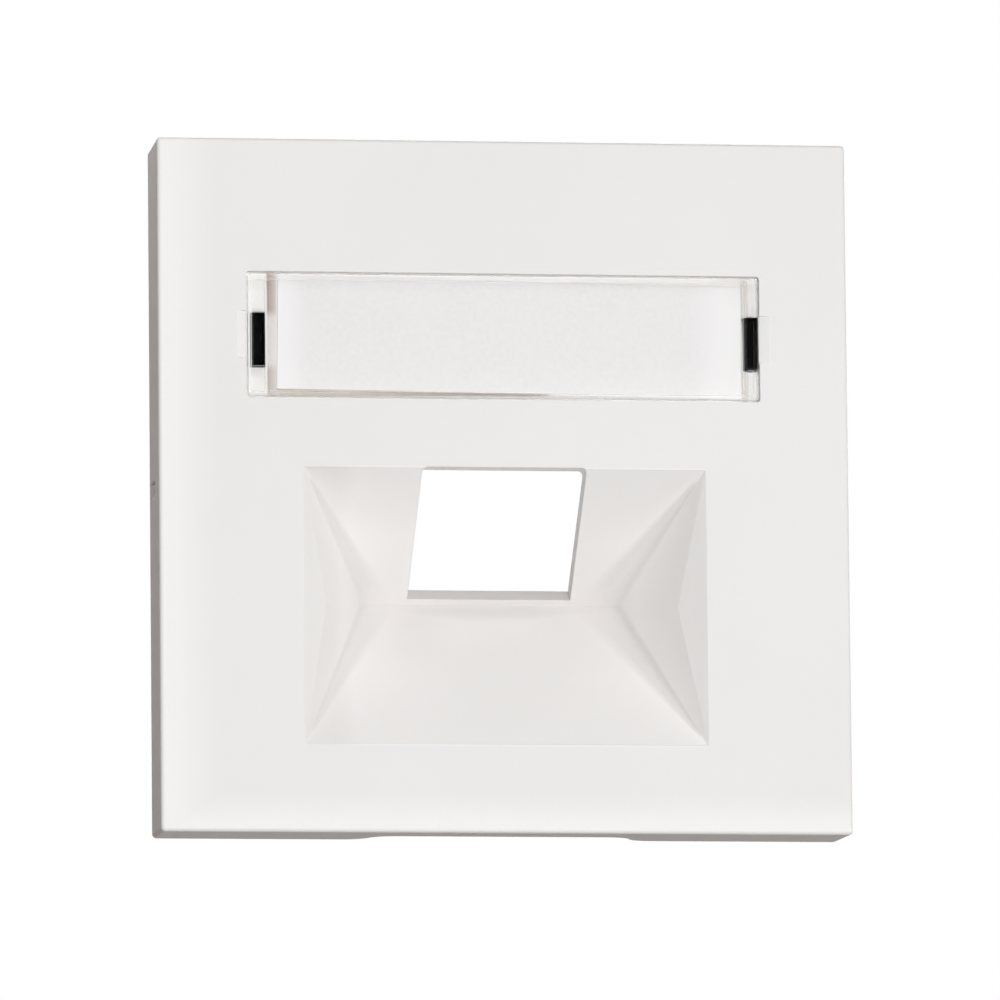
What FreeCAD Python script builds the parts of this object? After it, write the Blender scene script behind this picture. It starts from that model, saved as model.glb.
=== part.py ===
import FreeCAD, Part
import math
import os
import Sketcher

# Keystone faceplate: a square central plate for one data jack, with a label
# window above and a sunk, slanted keystone aperture below.
#
# Frame: X to the right, Z up, the front looks along -Y.  The origin is the
# centre of the skirt's rear rim, which is the plane that meets the wall frame.

doc = FreeCAD.newDocument("keystone_faceplate")
sheet = doc.addObject("Spreadsheet::Sheet", "size")

# ---------------------------------------------------------------- sizes, mm
SIZES = [
    # plate and skirt
    ("plate_width", 63.0),
    ("plate_height", 63.0),
    ("plate_thick", 1.8),
    ("skirt_depth", 7.8),
    ("skirt_thick", 1.6),
    ("skirt_draft", 1.1),
    ("edge_rad", 0.4),
    ("inside_rad", 0.6),
    # relief in the lower rim of the skirt
    ("relief_depth", 3.85),
    ("relief_flat", 19.0),
    ("relief_run", 4.8),
    # snap slot in each side of the skirt
    ("snap_height", 1.3),
    ("snap_length", 3.6),
    ("snap_depth", 0.5),
    ("snap_rim", 1.0),
    # recess
    ("recess_width", 36.7),
    ("recess_top", 1.7),
    ("recess_height", 25.3),
    ("recess_angle", 45.0),
    ("recess_depth", 11.25),
    ("recess_wall", 1.7),
    ("shoulder_run", 2.3),
    ("shoulder_depth", 2.45),
    ("valley_inset", 7.5),
    ("blend_rad", 3.3),
    ("recess_corner", 0.45),
    # keystone aperture in the slanted face
    ("aperture_width", 15.0),
    ("aperture_lip", 0.69),
    ("aperture_lean", 35.0),
    ("aperture_rad", 0.5),
    ("guide_gap", 1.9),
    ("guide_thick", 1.3),
    ("guide_depth", 4.2),
    # label pocket, its cover and the paper; left and right as seen from the front
    ("pocket_width", 46.9),
    ("pocket_height", 11.5),
    ("pocket_depth", 1.5),
    ("pocket_floor", 1.1),
    ("pocket_rise", 13.6),
    ("pocket_rad", 0.3),
    ("pocket_border", 2.4),
    ("cover_play", 0.15),
    ("pane_thick", 0.6),
    ("rim_width", 0.5),
    ("rim_end", 0.35),
    ("rim_play", 0.1),
    ("end_wall", 0.35),
    ("end_wall_left", 1.6),
    ("end_wall_right", 0.87),
    ("floor_play", 0.05),
    ("hook_width", 1.2),
    ("hook_height", 4.8),
    ("hook_drop", 0.38),
    ("hook_set_left", 0.4),
    ("hook_set_right", 0.02),
    ("hook_play", 0.08),
    ("hook_barb", 0.4),
    ("hook_length", 1.2),
    ("keeper_wall", 0.9),
    ("keeper_room", 0.6),
    ("notch_width", 0.85),
    ("notch_height", 4.3),
    ("notch_depth", 0.6),
    ("paper_width", 42.3),
    ("paper_height", 10.3),
    ("paper_thick", 0.2),
    ("paper_skew", 0.75),
    ("paper_shift", 0.67),
    # ribs behind the plate
    ("web_thick", 1.2),
    ("web_depth", 3.0),
]

for row, (alias, value) in enumerate(SIZES):
    sheet.set("A%d" % (row + 1), alias)
    sheet.set("B%d" % (row + 1), str(value))
    sheet.setAlias("B%d" % (row + 1), alias)
doc.recompute()


class Dim:
    """A size with the expression that binds it to the sheet."""

    def __init__(self, text, value):
        self.text = text
        self.value = value

    def __add__(self, other):
        other = dim(other)
        return Dim("(%s + %s)" % (self.text, other.text), self.value + other.value)

    def __sub__(self, other):
        other = dim(other)
        return Dim("(%s - %s)" % (self.text, other.text), self.value - other.value)

    def __mul__(self, other):
        other = dim(other)
        return Dim("(%s * %s)" % (self.text, other.text), self.value * other.value)

    def __truediv__(self, other):
        other = dim(other)
        return Dim("(%s / %s)" % (self.text, other.text), self.value / other.value)

    def __neg__(self):
        return Dim("(0 - %s)" % self.text, -self.value)


def dim(value):
    if isinstance(value, Dim):
        return value
    return Dim(repr(float(value)), float(value))


def tan(angle):
    return Dim("tan(%s)" % angle.text, math.tan(math.radians(angle.value)))


def sin(angle):
    return Dim("sin(%s)" % angle.text, math.sin(math.radians(angle.value)))


def cos(angle):
    return Dim("cos(%s)" % angle.text, math.cos(math.radians(angle.value)))


def atan(slope):
    # plain number of degrees
    value = math.degrees(math.atan(slope.value))
    return Dim("(atan(%s) / 1 deg)" % slope.text, value)


S = {}
for alias, value in SIZES:
    S[alias] = Dim("size.%s" % alias, float(sheet.get(alias)))


# ------------------------------------------------------------ sketch helpers
def origin_plane(body, role):
    for feature in body.Origin.OriginFeatures:
        if feature.Role == role:
            return feature
    raise RuntimeError("no plane " + role)


def new_sketch(body, name, role, shift, turn=None):
    """A sketch on one of the body's planes, moved by bound sizes."""
    sketch = body.newObject("Sketcher::SketchObject", name)
    sketch.AttachmentSupport = [(origin_plane(body, role), "")]
    sketch.MapMode = "FlatFace"
    angle = turn.value if turn else 0.0
    sketch.AttachmentOffset = FreeCAD.Placement(
        FreeCAD.Vector(*[dim(v).value for v in shift]),
        FreeCAD.Rotation(FreeCAD.Vector(1, 0, 0), angle))
    for axis, amount in zip("xyz", shift):
        if isinstance(amount, Dim):
            sketch.setExpression("AttachmentOffset.Base." + axis, amount.text)
    if turn:
        sketch.setExpression("AttachmentOffset.Rotation.Angle", turn.text)
    return sketch


def bind(sketch, kind, *args):
    """A constraint whose last argument is a bound size."""
    size = dim(args[-1])
    number = sketch.addConstraint(
        Sketcher.Constraint(kind, *args[:-1], size.value))
    if isinstance(args[-1], Dim):
        sketch.setExpression("Constraints[%d]" % number, size.text)
    return number


def pin(sketch, line, end, x, y):
    """Holds one end of a line at bound coordinates."""
    bind(sketch, "DistanceX", -1, 1, line, end, x)
    bind(sketch, "DistanceY", -1, 1, line, end, y)


def polygon(sketch, points):
    """A closed outline of straight lines through bound points."""
    first = sketch.GeometryCount
    total = len(points)
    spots = [FreeCAD.Vector(dim(x).value, dim(y).value, 0) for x, y in points]
    for i in range(total):
        sketch.addGeometry(Part.LineSegment(spots[i], spots[(i + 1) % total]), False)
    for i in range(total):
        sketch.addConstraint(
            Sketcher.Constraint("Coincident", first + i, 2, first + (i + 1) % total, 1))
    for i, (x, y) in enumerate(points):
        pin(sketch, first + i, 1, x, y)
    return first


def rectangle(sketch, width, height, x=0.0, y=0.0):
    half_w = dim(width) / 2
    half_h = dim(height) / 2
    x = dim(x)
    y = dim(y)
    return polygon(sketch, [
        (x - half_w, y - half_h),
        (x + half_w, y - half_h),
        (x + half_w, y + half_h),
        (x - half_w, y + half_h),
    ])


def rounded(sketch, width, height, radius, y=0.0):
    """A rectangle with four equal corner arcs, centred on x = 0."""
    half_w = dim(width) / 2
    half_h = dim(height) / 2
    rad = dim(radius)
    mid = dim(y)
    w, h, r, c = half_w.value, half_h.value, rad.value, mid.value
    first = sketch.GeometryCount
    vec = FreeCAD.Vector
    lines = [
        (vec(-w + r, c - h, 0), vec(w - r, c - h, 0)),
        (vec(w, c - h + r, 0), vec(w, c + h - r, 0)),
        (vec(w - r, c + h, 0), vec(-w + r, c + h, 0)),
        (vec(-w, c + h - r, 0), vec(-w, c - h + r, 0)),
    ]
    arcs = [
        (vec(w - r, c - h + r, 0), -90),
        (vec(w - r, c + h - r, 0), 0),
        (vec(-w + r, c + h - r, 0), 90),
        (vec(-w + r, c - h + r, 0), 180),
    ]
    for start, end in lines:
        sketch.addGeometry(Part.LineSegment(start, end), False)
    for centre, begin in arcs:
        circle = Part.Circle(centre, vec(0, 0, 1), r)
        a0 = math.radians(begin)
        sketch.addGeometry(Part.ArcOfCircle(circle, a0, a0 + math.pi / 2), False)
    for i in range(4):
        arc = first + 4 + i
        sketch.addConstraint(Sketcher.Constraint("Tangent", first + i, 2, arc, 1))
        sketch.addConstraint(Sketcher.Constraint("Tangent", arc, 2, first + (i + 1) % 4, 1))
        bind(sketch, "Radius", arc, rad)
    for flat in (first, first + 2):
        sketch.addConstraint(Sketcher.Constraint("Horizontal", flat))
    for upright in (first + 1, first + 3):
        sketch.addConstraint(Sketcher.Constraint("Vertical", upright))
    bind(sketch, "DistanceX", -1, 1, first + 1, 1, half_w)
    bind(sketch, "DistanceX", -1, 1, first + 3, 1, -half_w)
    bind(sketch, "DistanceY", -1, 1, first, 1, mid - half_h)
    bind(sketch, "DistanceY", -1, 1, first + 2, 1, mid + half_h)
    return first


def extrude(body, kind, name, sketch, length, back=False, taper=None, both=False):
    """A pad or pocket of bound length."""
    feature = body.newObject("PartDesign::" + kind, name)
    feature.Profile = sketch
    feature.Length = dim(length).value
    if isinstance(length, Dim):
        feature.setExpression("Length", length.text)
    feature.Reversed = back
    if both:
        feature.Midplane = True
    if taper:
        feature.TaperAngle = taper.value
        feature.setExpression("TaperAngle", taper.text)
    body.Tip = feature
    return feature


def edges_where(shape, test):
    names = []
    for i, edge in enumerate(shape.Edges):
        if test(edge):
            names.append("Edge%d" % (i + 1))
    return names


# ------------------------------------------------------------- shared places
front = -S["skirt_depth"]
rim_inset = S["skirt_depth"] * tan(S["skirt_draft"])
recess_bottom = S["recess_top"] - S["recess_height"]

floor_back = front + S["pocket_depth"] + S["pocket_floor"]

# ---------------------------------------------------------------- faceplate
plate = doc.addObject("PartDesign::Body", "faceplate")
plate.Label = "faceplate"

# Front outline, drawn on the front plane and padded back with draft, so the
# skirt is a little smaller at its rim.
outline = new_sketch(plate, "plate_outline", "XZ_Plane", (0, 0, -front))
rectangle(outline, S["plate_width"], S["plate_height"])
block = extrude(plate, "Pad", "plate_block", outline, S["skirt_depth"],
                back=True, taper=-S["skirt_draft"])
doc.recompute()


def outer_edge(edge):
    """Front edges and the four corners of the skirt, but not its rim."""
    return edge.BoundBox.YMin < front.value / 2


soft_edge = plate.newObject("PartDesign::Fillet", "outer_edges")
soft_edge.Base = (block, edges_where(block.Shape, outer_edge))
soft_edge.Radius = S["edge_rad"].value
soft_edge.setExpression("Radius", S["edge_rad"].text)
plate.Tip = soft_edge
doc.recompute()

# The hollow behind the plate leaves the skirt standing.
hollow_sketch = new_sketch(plate, "hollow_outline", "XZ_Plane", (0, 0, 0))
rounded(hollow_sketch,
        S["plate_width"] - (rim_inset + S["skirt_thick"]) * 2,
        S["plate_height"] - (rim_inset + S["skirt_thick"]) * 2,
        S["inside_rad"])
hollow = extrude(plate, "Pocket", "hollow", hollow_sketch,
                 S["skirt_depth"] - S["plate_thick"], back=True)
doc.recompute()


# The recess is three ruled sections: a sliver at the upper edge, the valley
# section across the middle, and a sliver at the lower edge.  Every ruling runs
# to one of the four front corners, so the side walls and the blends beside the
# slanted faces are cones whose points are those corners.
SLIVER = 0.012


class RecessForm:
    """The sizes of one skin of the recess, all bound to the sheet."""

    def __init__(self, half, top, bottom, valley_rise, depth, shoulder_run,
                 shoulder_depth, valley_inset, radius, lead):
        self.half = half
        self.lead = lead
        self.top = top
        self.bottom = bottom
        self.middle = (top + bottom) / 2
        self.depth = depth
        self.tilt = atan((valley_rise - self.middle) / depth)
        self.shoulder_run = shoulder_run
        self.shoulder_depth = shoulder_depth
        self.valley_inset = valley_inset
        self.radius = radius


def recess_section(name, form, edge_rise, share):
    """The valley section at share 1, or the same shape shrunk on its corners."""
    rise = form.middle * share + edge_rise * (1 - share)
    sketch = new_sketch(plate, name, "XY_Plane", (0, front, rise), form.tilt)
    stretch = dim(share) / cos(form.tilt)
    x0 = form.half
    x1 = form.half - form.shoulder_run * share
    x2 = form.half - form.valley_inset * share
    y1 = form.shoulder_depth * stretch
    y2 = form.depth * stretch
    rad = form.radius * share
    slope = (y2 - y1) / (x1 - x2)
    lean = math.atan(slope.value)
    reach = rad.value * math.tan(lean / 2)
    wall_end = (x2.value + reach * math.cos(lean), y2.value - reach * math.sin(lean))
    floor_end = (x2.value - reach, y2.value)
    centre = (floor_end[0], y2.value - rad.value)
    begin = math.atan2(wall_end[1] - centre[1], wall_end[0] - centre[0])

    def line(a, b):
        start = FreeCAD.Vector(a[0], a[1], 0)
        end = FreeCAD.Vector(b[0], b[1], 0)
        return sketch.addGeometry(Part.LineSegment(start, end), False)

    def arc(mid_x, start, end):
        circle = Part.Circle(FreeCAD.Vector(mid_x, centre[1], 0), FreeCAD.Vector(0, 0, 1),
                             rad.value)
        return sketch.addGeometry(Part.ArcOfCircle(circle, start, end), False)

    # Right-hand walls from the front inwards, the valley, then the same walls
    # mirrored.  The cut starts ahead of the front plane, the skin on it.
    knots = [(x0, dim(0.0)), (x1, y1)]
    if form.lead:
        knots.insert(0, (x0, -form.lead))
    right = [(x.value, y.value) for x, y in knots] + [wall_end]
    left = [(-x, y) for x, y in reversed(right)]
    across = line(left[-1], right[0])
    walls = [line(a, b) for a, b in zip(right[:-1], right[1:])]
    bend = arc(centre[0], begin, math.pi / 2)
    floor = line(floor_end, (-floor_end[0], floor_end[1]))
    other = arc(-centre[0], math.pi / 2, math.pi - begin)
    mirrored = [line(a, b) for a, b in zip(left[:-1], left[1:])]

    con = Sketcher.Constraint
    chain = [across] + walls
    for a, b in zip(chain[:-1], chain[1:]):
        sketch.addConstraint(con("Coincident", a, 2, b, 1))
    chain = mirrored + [across]
    for a, b in zip(chain[:-1], chain[1:]):
        sketch.addConstraint(con("Coincident", a, 2, b, 1))
    sketch.addConstraint(con("Tangent", walls[-1], 2, bend, 1))
    sketch.addConstraint(con("Tangent", bend, 2, floor, 1))
    sketch.addConstraint(con("Coincident", floor, 2, other, 1))
    sketch.addConstraint(con("Coincident", other, 2, mirrored[0], 1))
    sketch.addConstraint(con("Equal", bend, other))
    for a, b in zip(walls, reversed(mirrored)):
        sketch.addConstraint(con("Symmetric", a, 1, b, 2, -2))
    sketch.addConstraint(con("Symmetric", walls[-1], 2, mirrored[0], 1, -2))
    sketch.addConstraint(con("Symmetric", floor, 1, floor, 2, -2))
    for number, (x, y) in zip(walls, knots):
        pin(sketch, number, 1, x, y)
    bind(sketch, "DistanceY", -1, 1, floor, 1, y2)
    bind(sketch, "Radius", bend, rad)
    turn = sketch.addConstraint(con("Angle", walls[-1], math.pi - lean))
    sketch.setExpression("Constraints[%d]" % turn, "180 deg - atan(%s)" % slope.text)
    return sketch


def recess_loft(kind, name, form):
    """Adds or cuts the form of one skin of the recess."""
    upper = recess_section(name + "_upper", form, form.top, SLIVER)
    valley = recess_section(name + "_valley", form, form.top, 1)
    lower = recess_section(name + "_lower", form, form.bottom, SLIVER)
    loft = plate.newObject("PartDesign::" + kind, name)
    loft.Profile = upper
    loft.Sections = [valley, lower]
    loft.Ruled = True
    plate.Tip = loft
    return loft


upper_slope = tan(S["recess_angle"])
valley_rise = S["recess_top"] - S["recess_depth"] / upper_slope
inner = RecessForm(
    S["recess_width"] / 2, S["recess_top"], recess_bottom, valley_rise,
    S["recess_depth"], S["shoulder_run"], S["shoulder_depth"], S["valley_inset"],
    S["blend_rad"], S["plate_thick"])

# The outer skin lies one wall outside the inner one on every face.
wall = S["recess_wall"]
lower_angle = atan(S["recess_depth"] / (valley_rise - recess_bottom))
lower_slope = tan(lower_angle)
side_angle = atan(S["shoulder_depth"] / S["shoulder_run"])
inner_angle = atan((S["recess_depth"] - S["shoulder_depth"])
                   / (S["valley_inset"] - S["shoulder_run"]))
outer_rise = (S["recess_top"] * upper_slope + wall / cos(S["recess_angle"])
              + recess_bottom * lower_slope - wall / cos(lower_angle)) \
    / (upper_slope + lower_slope)
outer_depth = (S["recess_top"] - outer_rise) * upper_slope + wall / cos(S["recess_angle"])
side_shift = wall / sin(side_angle)
knee_run = (S["shoulder_depth"] - S["shoulder_run"] * tan(inner_angle)
            + wall / cos(inner_angle) - wall / cos(side_angle)) \
    / (tan(side_angle) - tan(inner_angle))
knee_depth = knee_run * tan(side_angle) + wall / cos(side_angle)
outer_inset = S["shoulder_run"] + (outer_depth - S["shoulder_depth"]
                                   - wall / cos(inner_angle)) / tan(inner_angle)
outer = RecessForm(
    S["recess_width"] / 2 + side_shift,
    S["recess_top"] + wall / sin(S["recess_angle"]),
    recess_bottom - wall / sin(lower_angle),
    outer_rise, outer_depth, knee_run + side_shift, knee_depth,
    outer_inset + side_shift, S["blend_rad"] + wall, None)

shell = recess_loft("AdditiveLoft", "recess_shell", outer)
doc.recompute()

# Thicker back behind the label pocket, so its floor keeps its own thickness.
back_sketch = new_sketch(plate, "pocket_back_outline", "XZ_Plane",
                         (0, 0, -(front + S["plate_thick"] / 2)))
rounded(back_sketch, S["pocket_width"] + S["pocket_border"] * 2,
        S["pocket_height"] + S["pocket_border"] * 2, S["inside_rad"], S["pocket_rise"])
pocket_back = extrude(plate, "Pad", "pocket_back", back_sketch,
                      floor_back - front - S["plate_thick"] / 2, back=True)

# Places of the cover's hooks.  The left hook is set in from the cover's end,
# the right one is almost flush with it.
cover_width = S["pocket_width"] - S["cover_play"] * 2
cover_height = S["pocket_height"] - S["cover_play"] * 2
cover_end = cover_width / 2
hook_rise = S["pocket_rise"] - S["hook_drop"]
HOOKS = []
for side, inset in ((-1, S["hook_set_left"]), (1, S["hook_set_right"])):
    HOOKS.append((side, cover_end - inset - S["hook_width"], cover_end - inset))
slot_height = S["hook_height"] + S["hook_play"] * 2

# Keepers: open-sided boxes behind the floor in which the cover's hooks catch.
keeper_depth = S["hook_length"] + S["keeper_room"]
keeper_high = slot_height + S["keeper_wall"] * 2
keeper_sketch = new_sketch(plate, "keeper_outline", "XZ_Plane", (0, 0, -floor_back))
for side, hook_in, hook_out in HOOKS:
    keeper_in = hook_in - S["hook_play"] - S["keeper_wall"]
    keeper_out = hook_out + S["hook_play"] + S["keeper_room"] + S["keeper_wall"]
    rectangle(keeper_sketch, keeper_out - keeper_in, keeper_high,
              (keeper_out + keeper_in) / 2 * side, hook_rise)
keepers = extrude(plate, "Pad", "hook_keepers", keeper_sketch,
                  keeper_depth + S["keeper_wall"], back=True)

# Webs that stiffen the plate between the recess and the skirt.
web_reach = S["plate_width"] / 2 - rim_inset - S["skirt_thick"] / 2
web_sketch = new_sketch(plate, "web_outline", "XZ_Plane",
                        (0, 0, -(front + S["plate_thick"] / 2)))
web_from = outer.half - outer.shoulder_run / 2
for side in (1, -1):
    rectangle(web_sketch, web_reach - web_from, S["web_thick"],
              (web_reach + web_from) / 2 * side, inner.middle)
webs = extrude(plate, "Pad", "stiffening_webs", web_sketch,
               S["plate_thick"] / 2 + S["web_depth"], back=True)

# Guides on both sides of the aperture.  They stand square on the back of the
# slanted face, clear of the sight line through the aperture.
lean = S["recess_angle"]
lip_depth = S["recess_depth"] - S["aperture_lip"] * sin(lean)
lip_rise = valley_rise + S["aperture_lip"] * cos(lean)
guide_x = S["aperture_width"] / 2 + S["guide_gap"]
guide_start = S["recess_wall"] / 2
guide_end = S["recess_wall"] + S["guide_depth"]


def beside_slope(along, off):
    """A point in the Y-Z plane: along the slanted face from its upper edge,
    and off behind it."""
    y = front + along * sin(lean) + off * cos(lean)
    z = S["recess_top"] - along * cos(lean) + off * sin(lean)
    return y, z


slope_length = S["recess_depth"] / sin(lean)
guide_points = [
    beside_slope(slope_length * 0.3, guide_start),
    beside_slope(slope_length * 0.96, guide_start),
    beside_slope(slope_length * 0.96, guide_end),
    beside_slope(slope_length * 0.3, guide_end),
]
for name, side in (("guide_right", 1), ("guide_left", -1)):
    guide_sketch = new_sketch(plate, name + "_outline", "YZ_Plane",
                              (0, 0, (guide_x + S["guide_thick"] / 2) * side))
    polygon(guide_sketch, guide_points)
    extrude(plate, "Pad", name, guide_sketch, S["guide_thick"], both=True)
doc.recompute()

cavity = recess_loft("SubtractiveLoft", "recess_cavity", inner)

# The four corners of the recess are rounded where it meets the front face.
corner_sketch = new_sketch(plate, "recess_corner_outline", "XZ_Plane", (0, 0, -front))
rectangle(corner_sketch, S["recess_width"] + S["recess_corner"],
          S["recess_height"] + S["recess_corner"], 0.0, inner.middle)
rounded(corner_sketch, S["recess_width"], S["recess_height"], S["recess_corner"],
        inner.middle)
corners = extrude(plate, "Pad", "recess_corners", corner_sketch,
                  S["plate_thick"] / 2, back=True)
doc.recompute()

# Keystone aperture: its lower wall leans less than a square cut would, so a
# jack can be hooked in there first, and its upper wall is level, in line with
# the upper edge of the recess.
lip_y = front + lip_depth
ahead = S["plate_thick"] / 4
wall_lean = S["aperture_lean"]
aperture_sketch = new_sketch(plate, "aperture_outline", "YZ_Plane", (0, 0, 0))
polygon(aperture_sketch, [
    (front - ahead, S["recess_top"]),
    (front - ahead, lip_rise - ahead * tan(wall_lean)),
    (lip_y - ahead, lip_rise - ahead * tan(wall_lean)),
    (lip_y + (S["recess_top"] - lip_rise) / tan(wall_lean), S["recess_top"]),
])
aperture = extrude(plate, "Pocket", "keystone_aperture", aperture_sketch,
                   S["aperture_width"], both=True)
doc.recompute()


def upper_corner(edge):
    """The edges where the side walls of the aperture meet its upper wall."""
    box = edge.BoundBox
    level = abs(box.ZMin - S["recess_top"].value) + abs(box.ZMax - S["recess_top"].value)
    width = max(abs(box.XMin), abs(box.XMax)) - S["aperture_width"].value / 2
    return level < 1e-4 and abs(width) < 1e-4 and box.XLength < 1e-4


soft_corner = plate.newObject("PartDesign::Fillet", "aperture_corners")
soft_corner.Base = (aperture, edges_where(aperture.Shape, upper_corner))
soft_corner.Radius = S["aperture_rad"].value
soft_corner.setExpression("Radius", S["aperture_rad"].text)
plate.Tip = soft_corner
doc.recompute()

# Label pocket with its hook slots, and the pry notches at its ends.
pocket_sketch = new_sketch(plate, "pocket_outline", "XZ_Plane", (0, 0, -front))
rounded(pocket_sketch, S["pocket_width"], S["pocket_height"], S["pocket_rad"],
        S["pocket_rise"])
pocket = extrude(plate, "Pocket", "label_pocket", pocket_sketch, S["pocket_depth"])

# A pry notch is a ramp that runs down to the end of the pocket.
notch_sketch = new_sketch(plate, "notch_outline", "XY_Plane", (0, 0, S["pocket_rise"]))
pocket_end = S["pocket_width"] / 2
for side in (1, -1):
    ramp_start = pocket_end + S["notch_width"]
    ramp_lead = S["notch_width"] / S["notch_depth"] * ahead
    polygon(notch_sketch, [
        ((pocket_end - S["notch_width"]) * side, front - ahead),
        ((ramp_start + ramp_lead) * side, front - ahead),
        (pocket_end * side, front + S["notch_depth"]),
        ((pocket_end - S["notch_width"]) * side, front + S["notch_depth"]),
    ])
notches = extrude(plate, "Pocket", "pry_notches", notch_sketch, S["notch_height"],
                  both=True)

slot_sketch = new_sketch(plate, "slot_outline", "XZ_Plane", (0, 0, -front))
for side, hook_in, hook_out in HOOKS:
    rectangle(slot_sketch, S["hook_width"] + S["hook_play"] * 2, slot_height,
              (hook_in + hook_out) / 2 * side, hook_rise)
slots = extrude(plate, "Pocket", "hook_slots", slot_sketch,
                S["pocket_depth"] + S["pocket_floor"] + keeper_depth)

catch_sketch = new_sketch(plate, "catch_outline", "XZ_Plane", (0, 0, -floor_back))
for side, hook_in, hook_out in HOOKS:
    catch_from = (hook_in + hook_out) / 2
    catch_to = hook_out + S["hook_play"] + S["keeper_room"] + S["keeper_wall"] * 2
    rectangle(catch_sketch, catch_to - catch_from, slot_height,
              (catch_to + catch_from) / 2 * side, hook_rise)
catches = extrude(plate, "Pocket", "hook_catches", catch_sketch, keeper_depth)

# Relief in the lower rim, with an S-curve of two equal arcs at each end.
rise = S["relief_depth"]
run = S["relief_run"]
flat = S["relief_flat"] / 2
bow = (rise * rise + run * run) / (rise * 4)
relief_sketch = new_sketch(plate, "relief_outline", "XY_Plane",
                           (0, 0, -S["plate_height"] / 2 - S["skirt_thick"] / 2))
half_turn = 2 * math.atan(rise.value / run.value)


def relief_line(a, b):
    relief_sketch.addGeometry(Part.LineSegment(
        FreeCAD.Vector(a[0], a[1], 0), FreeCAD.Vector(b[0], b[1], 0)), False)


def relief_arc(cx, cy, start, end):
    circle = Part.Circle(FreeCAD.Vector(cx, cy, 0), FreeCAD.Vector(0, 0, 1), bow.value)
    relief_sketch.addGeometry(Part.ArcOfCircle(circle, start, end), False)


f, w, d, q = flat.value, run.value, rise.value, bow.value
over = S["skirt_thick"].value
quarter = math.pi / 2
relief_line((-f, -d), (f, -d))
relief_arc(f, -d + q, -quarter, -quarter + half_turn)
relief_arc(f + w, -q, quarter, quarter + half_turn)
relief_line((f + w, 0), (f + w, over))
relief_line((f + w, over), (-f - w, over))
relief_line((-f - w, over), (-f - w, 0))
relief_arc(-f - w, -q, quarter - half_turn, quarter)
relief_arc(-f, -d + q, -quarter - half_turn, -quarter)
con = Sketcher.Constraint
relief_sketch.addConstraint(con("Tangent", 0, 2, 1, 1))
relief_sketch.addConstraint(con("Tangent", 1, 2, 2, 2))
for a, ea, b, eb in ((2, 1, 3, 1), (3, 2, 4, 1), (4, 2, 5, 1), (5, 2, 6, 2), (6, 1, 7, 1),
                     (7, 2, 0, 1)):
    relief_sketch.addConstraint(con("Coincident", a, ea, b, eb))
relief_sketch.addConstraint(con("Vertical", 2, 3, 2, 1))
relief_sketch.addConstraint(con("Equal", 1, 2))
relief_sketch.addConstraint(con("Equal", 1, 7))
relief_sketch.addConstraint(con("Equal", 2, 6))
relief_sketch.addConstraint(con("Symmetric", 1, 2, 7, 1, -2))
pin(relief_sketch, 0, 2, flat, -rise)
pin(relief_sketch, 0, 1, -flat, -rise)
pin(relief_sketch, 3, 1, flat + run, dim(0.0))
pin(relief_sketch, 4, 1, flat + run, S["skirt_thick"])
pin(relief_sketch, 5, 1, -flat - run, S["skirt_thick"])
pin(relief_sketch, 6, 2, -flat - run, dim(0.0))
relief = extrude(plate, "Pocket", "rim_relief", relief_sketch,
                 S["skirt_thick"] * 2 + rim_inset, back=True)

# Snap slots in the left and right skirt, open to the outside only.
snap_y = -S["snap_rim"] - S["snap_length"] / 2
for name, side in (("snap_slot_left", -1), ("snap_slot_right", 1)):
    snap_sketch = new_sketch(plate, name + "_outline", "YZ_Plane",
                             (0, 0, (S["plate_width"] / 2 - rim_inset - S["snap_depth"])
                              * side))
    rectangle(snap_sketch, S["snap_length"], S["snap_height"], snap_y)
    extrude(plate, "Pocket", name, snap_sketch, S["skirt_thick"] + rim_inset,
            back=side > 0)
doc.recompute()

# -------------------------------------------------------------- label cover
cover = doc.addObject("PartDesign::Body", "label_cover")
cover.Label = "label_cover"
pane_sketch = new_sketch(cover, "pane_outline", "XZ_Plane", (0, 0, -front))
rounded(pane_sketch, cover_width, cover_height, S["pocket_rad"], S["pocket_rise"])
extrude(cover, "Pad", "pane", pane_sketch, S["pane_thick"], back=True)

# A thin rim runs round the back of the pane, clear of the paper.
rim_sketch = new_sketch(cover, "rim_outline", "XZ_Plane",
                        (0, 0, -(front + S["pane_thick"] / 2)))
rounded(rim_sketch, cover_width, cover_height, S["pocket_rad"], S["pocket_rise"])
rounded(rim_sketch, cover_width - S["rim_end"] * 2, cover_height - S["rim_width"] * 2,
        S["pocket_rad"] / 2, S["pocket_rise"])
rim_reach = S["pocket_depth"] - S["paper_thick"] - S["rim_play"]
extrude(cover, "Pad", "rim", rim_sketch, rim_reach - S["pane_thick"] / 2, back=True)

# Two walls across the back keep the paper between the hooks.
wall_sketch = new_sketch(cover, "end_wall_outline", "XZ_Plane",
                         (0, 0, -(front + S["pane_thick"] / 2)))
for side, inset in ((-1, S["end_wall_left"]), (1, S["end_wall_right"])):
    rectangle(wall_sketch, S["end_wall"], cover_height - S["rim_width"],
              (cover_end - inset - S["end_wall"] / 2) * side, S["pocket_rise"])
extrude(cover, "Pad", "end_walls", wall_sketch,
        S["pocket_depth"] - S["floor_play"] - S["pane_thick"] / 2, back=True)

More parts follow.
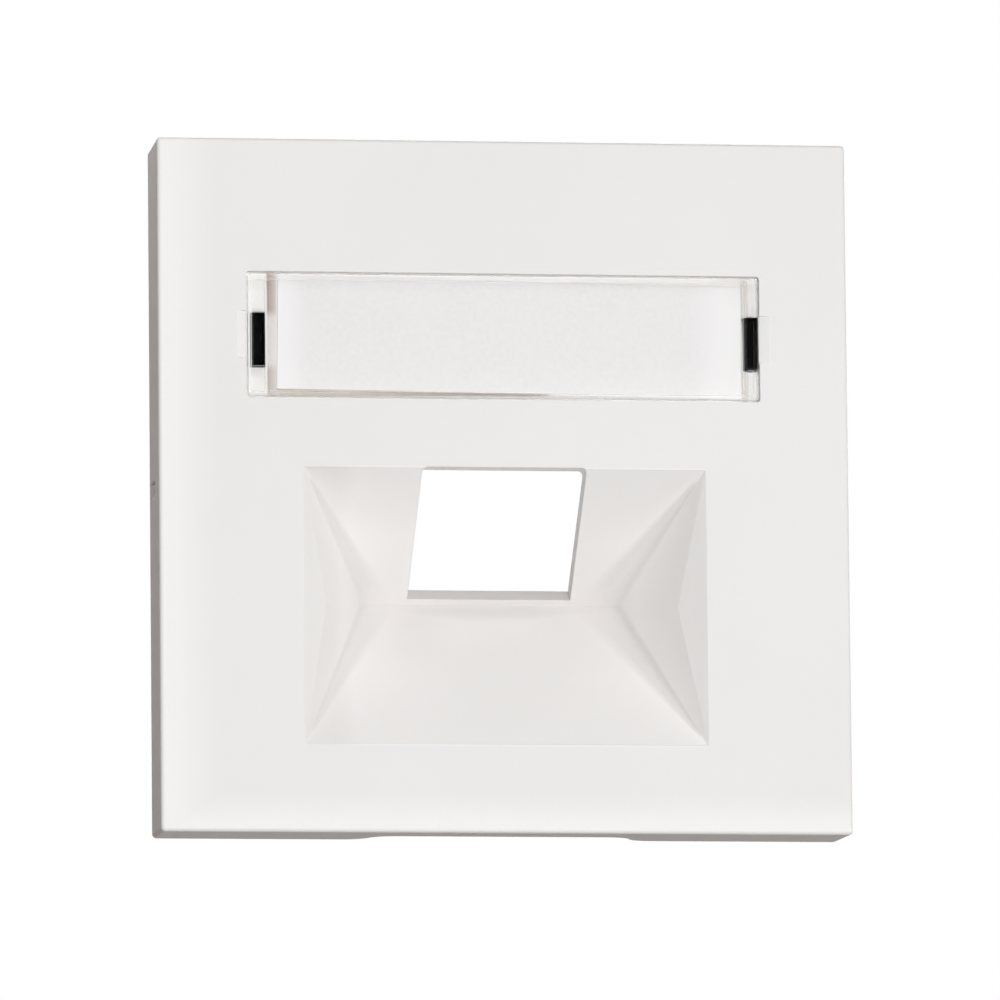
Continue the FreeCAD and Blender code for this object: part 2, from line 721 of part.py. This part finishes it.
hook_root = front + S["pane_thick"] / 2
hook_tip = floor_back + S["hook_length"]
barb_foot = floor_back
for name, (side, hook_in, hook_out) in zip(("hook_left", "hook_right"), HOOKS):
    hook_sketch = new_sketch(cover, name + "_outline", "XY_Plane", (0, 0, hook_rise))
    point = (hook_out + S["hook_play"] + S["hook_barb"]) * side
    polygon(hook_sketch, [
        (hook_in * side, hook_root),
        (hook_in * side, hook_tip),
        (hook_out * side, hook_tip),
        (point, barb_foot + S["hook_barb"] / 2),
        (point, barb_foot),
        (hook_out * side, barb_foot),
        (hook_out * side, hook_root),
    ])
    extrude(cover, "Pad", name, hook_sketch, S["hook_height"], both=True)
doc.recompute()

# -------------------------------------------------------------- paper label
paper = doc.addObject("Part::Box", "label_insert")
paper.Label = "label_insert"
paper.setExpression("Length", S["paper_width"].text)
paper.setExpression("Width", S["paper_thick"].text)
paper.setExpression("Height", S["paper_height"].text)
skew = S["paper_skew"]
paper_x = -(S["paper_width"] / 2 * cos(skew)) - S["paper_height"] / 2 * sin(skew) \
    + S["paper_shift"]
paper_z = S["pocket_rise"] + S["paper_width"] / 2 * sin(skew) \
    - S["paper_height"] / 2 * cos(skew)
paper.Placement = FreeCAD.Placement(
    FreeCAD.Vector(0, 0, 0), FreeCAD.Rotation(FreeCAD.Vector(0, 1, 0), skew.value))
paper.setExpression("Placement.Base.x", paper_x.text)
paper.setExpression("Placement.Base.y",
                    (front + S["pocket_depth"] - S["paper_thick"]).text)
paper.setExpression("Placement.Base.z", paper_z.text)
paper.setExpression("Placement.Rotation.Angle", skew.text)
doc.recompute()

# ------------------------------------------------------------------- output
for obj in doc.Objects:
    if "Invalid" in obj.State or "Error" in obj.State:
        raise RuntimeError("failed: %s %s" % (obj.Name, obj.State))

os.makedirs("parts", exist_ok=True)
for node in (plate, cover, paper):
    shape = node.Shape
    if shape.isNull() or not shape.isValid() or len(shape.Solids) != 1:
        raise RuntimeError("bad shape: " + node.Label)
    shape.exportStep("parts/%s.step" % node.Label)
    print(node.Label, "volume", round(shape.Volume, 3), "faces", len(shape.Faces))
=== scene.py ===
import math

import bpy
from mathutils import Matrix, Vector


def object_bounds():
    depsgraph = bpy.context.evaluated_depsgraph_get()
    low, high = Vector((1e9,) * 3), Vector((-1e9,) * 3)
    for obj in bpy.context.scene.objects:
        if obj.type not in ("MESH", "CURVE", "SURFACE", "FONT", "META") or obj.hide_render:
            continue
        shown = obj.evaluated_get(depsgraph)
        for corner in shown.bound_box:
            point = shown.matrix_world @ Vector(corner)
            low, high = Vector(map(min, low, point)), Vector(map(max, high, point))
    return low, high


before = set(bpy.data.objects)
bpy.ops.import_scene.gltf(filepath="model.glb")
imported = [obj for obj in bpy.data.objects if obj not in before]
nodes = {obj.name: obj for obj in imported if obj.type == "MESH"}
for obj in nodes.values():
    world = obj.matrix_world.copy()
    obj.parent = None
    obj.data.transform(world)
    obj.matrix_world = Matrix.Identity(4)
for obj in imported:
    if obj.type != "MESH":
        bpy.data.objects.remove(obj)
cad_low, cad_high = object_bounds()
MM = 0.001

# ------------------------------------------------------------------- places
# Left and right are as seen from the front.
FRONT_Y = cad_low[1]
FACE_HALF = 31.5 * MM
RECESS_HALF = 18.35 * MM
RECESS_TOP = 1.7 * MM
RECESS_BOTTOM = -23.6 * MM
LOWER_SLOPE = 0.8                 # depth gained for each step up from the recess's lower edge
WINDOW_Z = 13.6 * MM
WINDOW_HALF_WIDTH = 23.45 * MM
WINDOW_HALF_HEIGHT = 5.75 * MM
POCKET_FLOOR_Y = -6.3 * MM
CARD_LEFT_X = -20.6 * MM
# Each hook: low and high x, then middle and half height of the part that shows dark.
LEFT_HOOK = (-22.74 * MM, -21.70 * MM, 13.22 * MM, 2.42 * MM)
RIGHT_HOOK = (22.30 * MM, 23.28 * MM, 13.34 * MM, 2.32 * MM)


# ------------------------------------------------------------------ colours
def rgb(red, green, blue):
    return (red, green, blue, 1.0)


MOULDED = (rgb(0.887, 0.867, 0.852), rgb(0.90, 0.881, 0.867))
# The warm, darker tint painted on the outer sides as their shade.
WARM_SHADE_TINT = rgb(0.82, 0.735, 0.70)
PAINTED_LIGHT = rgb(0.98, 0.955, 0.94)
# Painted light in the finger notches.
NOTCH_LIGHT = rgb(0.985, 0.975, 0.97)
VALLEY_SHADE = rgb(0.80, 0.772, 0.755)
BLEND_SHADE = rgb(0.75, 0.725, 0.71)
GAP_SHADE = rgb(0.42, 0.39, 0.375)
# Painted shadow on the bare pocket floor beside the card.
BARE_FLOOR_SHADE = rgb(0.40, 0.33, 0.28)
# Painted brown shadow along the card's lower edge, lighter at the left and darker at the right.
EDGE_SHADOW_TONES = (rgb(0.61, 0.555, 0.50), rgb(0.42, 0.36, 0.315))
CLEAR = rgb(0.985, 0.985, 0.982)
SHADE_BLACK = rgb(0.004, 0.004, 0.004)
CARD = (rgb(0.87, 0.845, 0.85), rgb(0.92, 0.893, 0.898))
CARD_CLOUD = rgb(0.92, 0.90, 0.90)
# Painted light at the card's two ends.
CARD_END_LIGHT = rgb(0.975, 0.965, 0.965)
FLOOR_TONES = (rgb(0.88, 0.88, 0.88), rgb(0.90, 0.90, 0.90))
WHITE = rgb(1.0, 1.0, 1.0)


# ------------------------------------------------------------- node helpers
class Tree:
    """A shader tree, with short ways to add and join its nodes."""

    def __init__(self, tree, output):
        self.tree = tree
        self.tree.nodes.clear()
        self.out = self.add(output)

    def add(self, kind, **settings):
        node = self.tree.nodes.new(kind)
        for key, value in settings.items():
            setattr(node, key, value)
        return node

    def join(self, source, target):
        self.tree.links.new(source, target)

    def feed(self, socket, value):
        """Join another socket to this one, or set its own value."""
        if isinstance(value, bpy.types.NodeSocket):
            self.join(value, socket)
        else:
            socket.default_value = value

    def math(self, operation, a, b=0.0):
        node = self.add("ShaderNodeMath", operation=operation)
        self.feed(node.inputs[0], a)
        self.feed(node.inputs[1], b)
        return node.outputs[0]

    def product(self, first, *others):
        for other in others:
            first = self.math("MULTIPLY", first, other)
        return first

    def most(self, first, *others):
        for other in others:
            first = self.math("MAXIMUM", first, other)
        return first

    def away(self, value, middle):
        """How far a value is from the middle, either way."""
        return self.math("ABSOLUTE", self.math("SUBTRACT", value, middle))

    def ramp(self, value, low, high, to_low=0.0, to_high=1.0):
        """to_low as far as low, to_high from high on, with a smooth change between."""
        node = self.add("ShaderNodeMapRange", interpolation_type="SMOOTHSTEP")
        self.feed(node.inputs["Value"], value)
        node.inputs["From Min"].default_value = low
        node.inputs["From Max"].default_value = high
        node.inputs["To Min"].default_value = to_low
        node.inputs["To Max"].default_value = to_high
        return node.outputs["Result"]

    def between(self, value, low, high, edge):
        """1 from low to high, falling to 0 over the edge width outside."""
        return self.product(self.ramp(value, low - edge, low),
                            self.ramp(value, high, high + edge, 1.0, 0.0))

    def place(self):
        return self.add("ShaderNodeTexCoord").outputs["Object"]

    def axes(self, spot):
        node = self.add("ShaderNodeSeparateXYZ")
        self.join(spot, node.inputs[0])
        return tuple(node.outputs)

    def noise(self, spot, scale, detail=2.0, roughness=0.5):
        node = self.add("ShaderNodeTexNoise")
        self.join(spot, node.inputs["Vector"])
        node.inputs["Scale"].default_value = scale
        node.inputs["Detail"].default_value = detail
        node.inputs["Roughness"].default_value = roughness
        return node.outputs["Fac"]

    def mix(self, factor, a, b):
        """Colour a, giving way to colour b as the factor rises."""
        node = self.add("ShaderNodeMix", data_type="RGBA")
        self.feed(node.inputs["Factor"], factor)
        self.feed(node.inputs["A"], a)
        self.feed(node.inputs["B"], b)
        return node.outputs["Result"]

    def bump(self, height, distance, strength, normal=None):
        node = self.add("ShaderNodeBump")
        node.inputs["Strength"].default_value = strength
        node.inputs["Distance"].default_value = distance
        self.join(height, node.inputs["Height"])
        if normal is not None:
            self.join(normal, node.inputs["Normal"])
        return node.outputs["Normal"]

    def principled(self, **sockets):
        """The surface, with each socket named by its own words joined by underscores."""
        node = self.add("ShaderNodeBsdfPrincipled")
        for key, value in sockets.items():
            self.feed(node.inputs[key.replace("_", " ")], value)
        self.join(node.outputs["BSDF"], self.out.inputs["Surface"])
        return node.outputs["BSDF"]

    def cross(self, factor, first, second):
        """The surface: the first shader, giving way to the second as the factor rises."""
        node = self.add("ShaderNodeMixShader")
        self.join(factor, node.inputs["Fac"])
        self.join(first, node.inputs[1])
        self.join(second, node.inputs[2])
        self.join(node.outputs[0], self.out.inputs["Surface"])

    def shown(self):
        """1 where the camera sees it, straight on or by reflection or refraction."""
        path = self.add("ShaderNodeLightPath")
        return self.most(path.outputs["Is Camera Ray"], path.outputs["Is Glossy Ray"],
                         path.outputs["Is Transmission Ray"])


def start_material(name):
    """A new material and the tree that paints it."""
    material = bpy.data.materials.new(name)
    material.use_nodes = True
    return material, Tree(material.node_tree, "ShaderNodeOutputMaterial")


# ---------------------------------------------------------------- materials
def hook_zone(t, x, z, play):
    """1 in the upright columns where the cover's two hooks pass through the plate."""
    edge = 0.03 * MM
    columns = []
    for low_x, high_x, middle, half in (LEFT_HOOK, RIGHT_HOOK):
        level = t.ramp(t.away(z, middle), half + play, half + play + edge, 1.0, 0.0)
        columns.append(t.product(t.between(x, low_x - play, high_x + play, edge), level))
    return t.most(*columns)


def lower_edge_shadow(t, x, z):
    """1 on the painted brown shadow along the card's lower edge, which narrows to the right."""
    upper_fall, lower_rise = 0.0111, 0.0083
    under = t.ramp(t.math("ADD", z, t.product(x, upper_fall)), 8.55 * MM, 8.64 * MM, 1.0, 0.0)
    over = t.ramp(t.math("SUBTRACT", z, t.product(x, lower_rise)), 8.27 * MM, 8.37 * MM)
    return t.product(under, over, t.ramp(x, 3.6 * MM, 4.9 * MM, 1.0, 0.0))


# The colour of the painted shadow along the card's lower edge, darker towards the right.
def edge_shadow_colour(t, x):
    return t.mix(t.ramp(x, -18.0 * MM, -4.0 * MM), *EDGE_SHADOW_TONES)


def tint_face(t, colour, x, y, z):
    """A warm, darker tint painted on the outer sides as the colour of their shade, and a painted
    highlight as a pale border at the face's left and lower edges.
    """
    # Painted shade: the outer sides get a warmer, darker tint, for the warm colour of their shade.
    outer = t.most(t.math("ABSOLUTE", x), t.math("ABSOLUTE", z))
    sides = t.product(t.ramp(outer, FACE_HALF - 0.25 * MM, FACE_HALF - 0.17 * MM),
                      t.ramp(y, FRONT_Y + 0.1 * MM, FRONT_Y + 0.6 * MM))
    colour = t.mix(sides, colour, WARM_SHADE_TINT)
    # Painted highlight: the face is painted paler near its left and lower edges.
    edge = 0.1 * MM - FACE_HALF
    edge_light = t.most(t.ramp(x, edge, 6.0 * MM - FACE_HALF, 1.0, 0.0),
                    t.ramp(z, edge, 4.0 * MM - FACE_HALF, 1.0, 0.0))
    on_face = t.ramp(y, FRONT_Y + 0.05 * MM, FRONT_Y + 0.3 * MM, 1.0, 0.0)
    return t.mix(t.product(edge_light, on_face), colour, PAINTED_LIGHT)


def tint_recess(t, colour, x, y, z):
    """Painted light on the recess walls, and painted shade in the valley and in the blends beside the
    slanted faces.
    """
    side = t.math("ABSOLUTE", x)
    inside = t.product(t.between(x, -RECESS_HALF - 0.1 * MM, RECESS_HALF - 0.05 * MM, 0.05 * MM),
                       t.between(z, RECESS_BOTTOM, RECESS_TOP, 0.05 * MM))

    # The valley's middle and its two ends are left out of the painted light on the walls, and given
    # painted shade.
    ends = t.product(t.ramp(y, -2.8 * MM, 3.4 * MM), t.ramp(side, 2.0 * MM, 9.5 * MM),
                     t.ramp(x, 11.5 * MM, 13.5 * MM, 1.0, 0.0))
    middle = t.product(t.ramp(y, 2.0 * MM, 3.1 * MM), t.ramp(side, 8.5 * MM, 11.0 * MM, 1.0, 0.0))
    wall_light = t.product(t.ramp(x, -15.5 * MM, -13.0 * MM, 0.0, 0.6),
                      t.math("SUBTRACT", 1.0, t.most(ends, middle)))
    colour = t.mix(t.product(inside, wall_light), colour, PAINTED_LIGHT)
    valley = t.most(t.product(ends, t.ramp(x, -17.0 * MM, -14.0 * MM, 0.0, 0.6)),
                    t.product(middle, 0.65))
    colour = t.mix(t.product(inside, valley), colour, VALLEY_SHADE)

    # Each blend of painted shade runs to a corner of the recess's front edge, so slopes from that
    # edge find it.
    depth = t.most(t.math("SUBTRACT", y, FRONT_Y), 0.5 * MM)
    upper = t.math("SUBTRACT", RECESS_TOP, z)
    lower = t.product(t.math("SUBTRACT", z, RECESS_BOTTOM), LOWER_SLOPE)
    slope = t.math("DIVIDE", t.math("MINIMUM", upper, lower), depth)
    slanted = t.ramp(slope, 1.10, 1.25, 1.0, 0.0)
    inset = t.math("DIVIDE", t.math("SUBTRACT", RECESS_HALF, side), depth)
    left = t.product(t.ramp(inset, 0.75, 0.92, 0.7, 0.0), t.ramp(x, -1.0 * MM, 0.0, 1.0, 0.0))
    right = t.product(t.ramp(inset, 0.80, 1.02, 0.75, 0.0), t.ramp(x, 0.0, 1.0 * MM))
    rising = t.ramp(y, FRONT_Y + 0.5 * MM, FRONT_Y + 1.5 * MM)
    fading = t.ramp(y, 1.0 * MM, 3.4 * MM, 1.0, 0.6)
    blends = t.product(t.math("ADD", left, right), inside, slanted, rising, fading)
    return t.mix(blends, colour, BLEND_SHADE)


def tint_pocket(t, colour, x, y, z):
    """Painted shade in the gap round the label cover, and painted shadow on the floor where the card
    leaves it bare.
    """
    near = t.product(t.ramp(t.math("ABSOLUTE", x), WINDOW_HALF_WIDTH + 0.02 * MM,
                            WINDOW_HALF_WIDTH + 0.05 * MM, 1.0, 0.0),
                     t.ramp(t.away(z, WINDOW_Z), WINDOW_HALF_HEIGHT + 0.02 * MM,
                            WINDOW_HALF_HEIGHT + 0.05 * MM, 1.0, 0.0))
    gap = t.product(near, t.between(y, FRONT_Y + 0.14 * MM, POCKET_FLOOR_Y - 0.05 * MM, 0.04 * MM))
    colour = t.mix(t.product(gap, 0.3), colour, GAP_SHADE)

    # Where bare floor shows left of the card, in a sliver at its right end and in a trace below it,
    # it is painted in shadow.
    floor_level = t.product(near, t.between(y, POCKET_FLOOR_Y - 0.02 * MM,
                                            POCKET_FLOOR_Y + 0.02 * MM, 0.02 * MM))
    hook_middle = LEFT_HOOK[2]
    left = t.product(t.between(x, -21.4 * MM, CARD_LEFT_X, 0.1 * MM),
                     t.ramp(x, -21.35 * MM, CARD_LEFT_X + 0.2 * MM, 1.0, 0.45),
                     t.ramp(t.away(z, hook_middle), 1.9 * MM, 2.9 * MM, 0.35, 1.0),
                     t.ramp(z, 10.5 * MM, 16.0 * MM, 0.72, 1.0))
    right = t.product(t.between(x, 22.0 * MM, 23.2 * MM, 0.1 * MM),
                      t.ramp(x, 22.0 * MM, 22.9 * MM, 0.5, 0.0))
    colour = t.mix(t.product(t.most(left, right), floor_level), colour, BARE_FLOOR_SHADE)
    below = t.product(lower_edge_shadow(t, x, z), floor_level,
                      t.ramp(x, CARD_LEFT_X, CARD_LEFT_X + 0.3 * MM))
    return t.mix(below, colour, edge_shadow_colour(t, x))


def tint_notches(t, colour, x, y, z):
    """Painted light in the two finger notches, paler than the plastic round them, palest in the right
    one.
    """
    notch = t.product(t.between(t.math("ABSOLUTE", x), WINDOW_HALF_WIDTH,
                                WINDOW_HALF_WIDTH + 0.95 * MM, 0.05 * MM),
                      t.ramp(t.away(z, WINDOW_Z), 2.2 * MM, 2.3 * MM, 1.0, 0.0),
                      t.between(y, FRONT_Y + 0.02 * MM, FRONT_Y + 0.7 * MM, 0.03 * MM),
                      t.ramp(x, -1.0 * MM, 1.0 * MM, 0.5, 1.0))
    return t.mix(notch, colour, NOTCH_LIGHT)


def tint_hook_slots(t, colour, x, y, z):
    """Deep shade on the walls of the slots round the cover's hooks."""
    slots = t.product(hook_zone(t, x, z, 0.10 * MM),
                      t.ramp(y, POCKET_FLOOR_Y + 0.01 * MM, POCKET_FLOOR_Y + 0.05 * MM),
                      t.ramp(y, -4.7 * MM, -4.3 * MM, 1.0, 0.0))
    return t.mix(slots, colour, SHADE_BLACK)


def white_plastic():
    material, t = start_material("white_plastic")
    spot = t.place()
    x, y, z = t.axes(spot)

    # A moulded tint that drifts a little across the part.
    colour = t.mix(t.ramp(t.noise(spot, 45.0, 3.0), 0.35, 0.65), *MOULDED)
    for tint in (tint_face, tint_recess, tint_pocket, tint_notches, tint_hook_slots):
        colour = tint(t, colour, x, y, z)

    # Satin surface with softened edges: fine orange peel under a finer spark grain.
    grain = t.noise(spot, 5200.0, 2.0, 0.6)
    peel = t.noise(spot, 900.0)
    satin = t.math("ADD", t.ramp(peel, 0.3, 0.7, -0.03, 0.03), t.ramp(grain, 0.3, 0.7, 0.54, 0.61))
    soft = t.add("ShaderNodeBevel", samples=6)
    t.join(t.ramp(z, 3.0 * MM, 4.5 * MM, 0.12 * MM, 0.06 * MM), soft.inputs["Radius"])
    normal = t.bump(peel, 0.010 * MM, 0.3, soft.outputs["Normal"])
    normal = t.bump(grain, 0.003 * MM, 0.4, normal)
    t.principled(Base_Color=colour, Roughness=satin, Normal=normal, IOR=1.46,
                 Specular_IOR_Level=0.3, Subsurface_Weight=0.08,
                 Subsurface_Radius=(1.0, 0.9, 0.8), Subsurface_Scale=0.7 * MM)
    return material


def clear_plastic():
    """Clear in the pane; the clear hooks are painted black as the deep shade round them."""
    material, t = start_material("clear_plastic")
    spot = t.place()
    x, y, z = t.axes(spot)
    post = hook_zone(t, x, z, 0.03 * MM)
    # Painted shade: the hooks are painted black.
    hook_shade = t.product(post, t.ramp(y, FRONT_Y + 0.58 * MM, FRONT_Y + 0.62 * MM))
    clear = t.math("SUBTRACT", 1.0, hook_shade)

    # The rim along the cover's edges is not polished like its face.
    rim = t.product(t.most(t.ramp(t.away(z, WINDOW_Z), 4.95 * MM, 5.1 * MM),
                           t.ramp(x, 22.7 * MM, 22.9 * MM)),
                    t.ramp(y, FRONT_Y + 0.01 * MM, FRONT_Y + 0.05 * MM))
    flow = t.noise(spot, 120.0, 1.0)
    roughness = t.math("ADD", t.ramp(flow, 0.3, 0.7, 0.02, 0.05), t.product(t.most(hook_shade, rim), 0.4))
    # Over the hooks the pane reflects almost nothing, so their painted shade stays black.
    specular = t.mix(post, rgb(0.8, 0.8, 0.8), rgb(0.02, 0.02, 0.02))
    plastic = t.principled(Base_Color=t.mix(hook_shade, CLEAR, SHADE_BLACK), Roughness=roughness, IOR=1.49,
                           Normal=t.bump(flow, 0.01 * MM, 0.012), Specular_Tint=specular,
                           Transmission_Weight=clear)

    # Light reaches the card and the pocket behind the cover.
    path = t.add("ShaderNodeLightPath")
    passing = t.most(path.outputs["Is Shadow Ray"], path.outputs["Is Diffuse Ray"])
    through = t.add("ShaderNodeBsdfTransparent").outputs["BSDF"]
    t.cross(t.product(passing, clear), plastic, through)
    return material


def paper():
    material, t = start_material("paper")
    spot = t.place()
    x, y, z = t.axes(spot)
    fibre = t.noise(spot, 2600.0, 4.0, 0.65)
    cloud = t.noise(spot, 220.0, 3.0, 0.6)
    colour = t.mix(t.ramp(fibre, 0.3, 0.7), *CARD)
    colour = t.mix(t.ramp(cloud, 0.35, 0.65, 0.0, 0.25), colour, CARD_CLOUD)
    # Painted light: the card is painted paler towards both ends.
    ends = t.most(t.ramp(x, -20.3 * MM, -17.5 * MM, 1.0, 0.0), t.ramp(x, 16.5 * MM, 20.8 * MM))
    colour = t.mix(ends, colour, CARD_END_LIGHT)
    # Painted shadow along the card's lower edge.
    colour = t.mix(lower_edge_shadow(t, x, z), colour, edge_shadow_colour(t, x))
    t.principled(Base_Color=colour, Roughness=t.ramp(fibre, 0.3, 0.7, 0.82, 0.92),
                 Normal=t.bump(fibre, 0.03 * MM, 0.4))
    return material


def dress(node, material):
    mesh = nodes[node].data
    mesh.materials.clear()
    mesh.materials.append(material)


dress("faceplate", white_plastic())
dress("label_cover", clear_plastic())
dress("label_insert", paper())

# -------------------------------------------------------------------- stage
FLOOR_SIZE = 12.0
FLOOR_Z = -1.5
FLOOR_WHITE = 0.985               # how much of the floor that shows is plain white
SKY_SHOWN = 1.0
SKY_LIGHT = 0.12


def pale_floor():
    """A matt floor that shows white and still takes light and shadow."""
    material, t = start_material("pale_floor")
    spot = t.place()
    tone = t.mix(t.ramp(t.noise(spot, 6.0), 0.3, 0.7), *FLOOR_TONES)
    roughness = t.ramp(t.noise(spot, 30.0), 0.3, 0.7, 0.85, 0.95)
    matt = t.principled(Base_Color=tone, Roughness=roughness)
    white = t.add("ShaderNodeEmission")
    white.inputs["Color"].default_value = WHITE
    t.cross(t.product(t.shown(), FLOOR_WHITE), matt, white.outputs[0])
    return material


def sky(t, strength):
    """A white sky of the given strength."""
    node = t.add("ShaderNodeBackground")
    node.inputs["Color"].default_value = WHITE
    node.inputs["Strength"].default_value = strength
    return node.outputs[0]


bpy.ops.mesh.primitive_plane_add(size=FLOOR_SIZE, location=(0, 0, FLOOR_Z))
floor = bpy.context.object
floor.name = "floor"
floor.data.materials.append(pale_floor())

world = bpy.data.worlds.new("studio")
bpy.context.scene.world = world
world.use_nodes = True
studio = Tree(world.node_tree, "ShaderNodeOutputWorld")
studio.cross(studio.shown(), sky(studio, SKY_LIGHT), sky(studio, SKY_SHOWN))

# -------------------------------------------------------------------- lamps
LAMP_REACH = 0.60
LAMP_SIZE = 0.28


def outward(azimuth, elevation):
    """The direction so many degrees to the right of the front, and so many up."""
    turn, lift = math.radians(azimuth), math.radians(elevation)
    return Vector((math.sin(turn) * math.cos(lift), -math.cos(turn) * math.cos(lift), math.sin(lift)))


def softbox(name, azimuth, elevation, power):
    """A square soft lamp, aimed at the part."""
    data = bpy.data.lights.new(name, "AREA")
    data.shape = "SQUARE"
    data.size = LAMP_SIZE
    data.energy = power
    lamp = bpy.data.objects.new(name, data)
    lamp.visible_camera = False
    bpy.context.scene.collection.objects.link(lamp)
    direction = outward(azimuth, elevation)
    lamp.location = direction * LAMP_REACH
    lamp.rotation_euler = (-direction).to_track_quat("-Z", "Y").to_euler()


softbox("low_front", 0, -12, 2.24)
softbox("right_side", 75, -12, 0.52)
softbox("top_right", 20, 40, 0.78)
softbox("top_left", -70, 60, 0.46)
softbox("rear_centre", 178, 25, 1.7)
softbox("rear_right", 135, 5, 0.9)

# ------------------------------------------------------------------- camera
CAMERA_AZIMUTH = -8.51
CAMERA_ELEVATION = -7.22
CAMERA_ROLL = -0.555
CAMERA_DISTANCE = 1.24
CAMERA_AIM = Vector((-0.07 * MM, -5.0 * MM, -0.925 * MM))
SENSOR_WIDTH = 36.0               # millimetres, as the lens is
VIEWS_PER_METRE = 11.054          # at the part, the view takes in 1 / 11.054 m

camera_data = bpy.data.cameras.new("camera")
camera_data.sensor_width = SENSOR_WIDTH
camera_data.lens = SENSOR_WIDTH * CAMERA_DISTANCE * VIEWS_PER_METRE
camera_data.clip_start = 0.05
camera_data.clip_end = 20.0
camera = bpy.data.objects.new("camera", camera_data)
bpy.context.scene.collection.objects.link(camera)
back = outward(CAMERA_AZIMUTH, CAMERA_ELEVATION)
facing = (-back).to_track_quat("-Z", "Y").to_matrix().to_4x4()
roll = Matrix.Rotation(math.radians(CAMERA_ROLL), 4, "Z")
camera.matrix_world = Matrix.Translation(CAMERA_AIM + back * CAMERA_DISTANCE) @ facing @ roll
bpy.context.scene.camera = camera
bpy.context.scene.view_settings.view_transform = "Standard"
